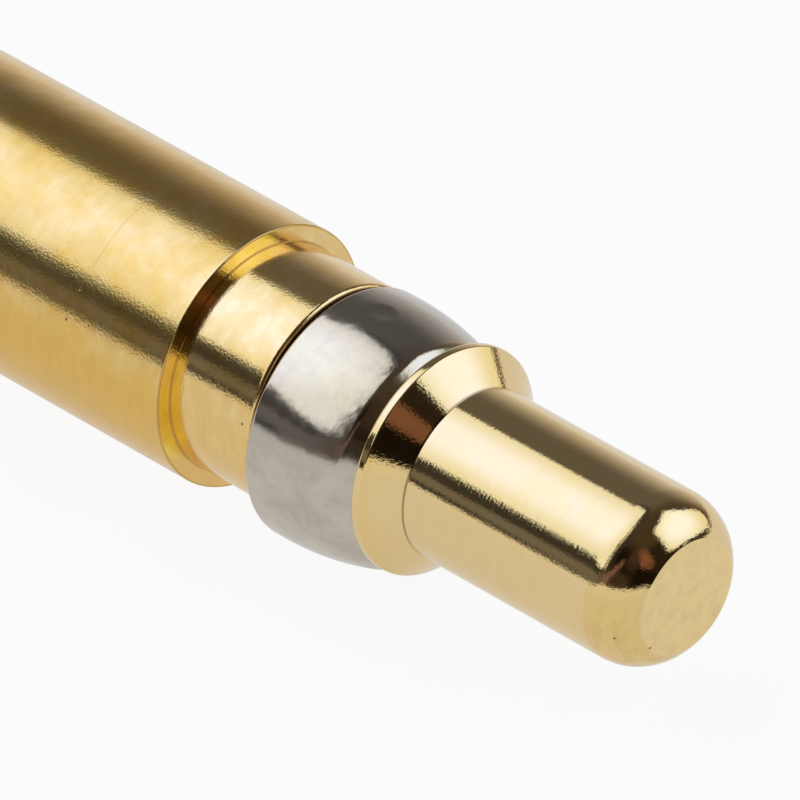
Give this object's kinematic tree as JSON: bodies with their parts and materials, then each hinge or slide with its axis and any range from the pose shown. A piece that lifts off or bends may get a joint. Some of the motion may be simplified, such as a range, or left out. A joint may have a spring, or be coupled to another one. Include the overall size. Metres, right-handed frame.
{
  "type": "d-sub power contact",
  "caption": "Gold-plated male power contact: a turned pin with rounded nose, cone collar and wire barrel, and a loose crowned spring clip that snaps it into a connector's insulator.",
  "frame": {"origin": "centre of the rear end face, on the contact's axis", "axes": "+Z along the contact's axis towards the pin's tip; -Y the side to which the loose clip hangs and where its slit lies"},
  "size_m": [0.0054, 0.0054, 0.0205],
  "materials": {
    "gold_plating": "turned copper alloy with polished gold plating",
    "spring_steel": "polished spring steel sheet"
  },
  "bodies": {
    "contact": {"contact_body": "gold_plating"},
    "clip": {"retention_clip": "spring_steel"}
  },
  "joints": [
    {"name": "clip_turn", "type": "hinge", "parent": "contact", "child": "clip", "pos_m": [0, -0.00022, 0.01249], "axis": [0, 0, 1], "continuous": true}
  ]
}
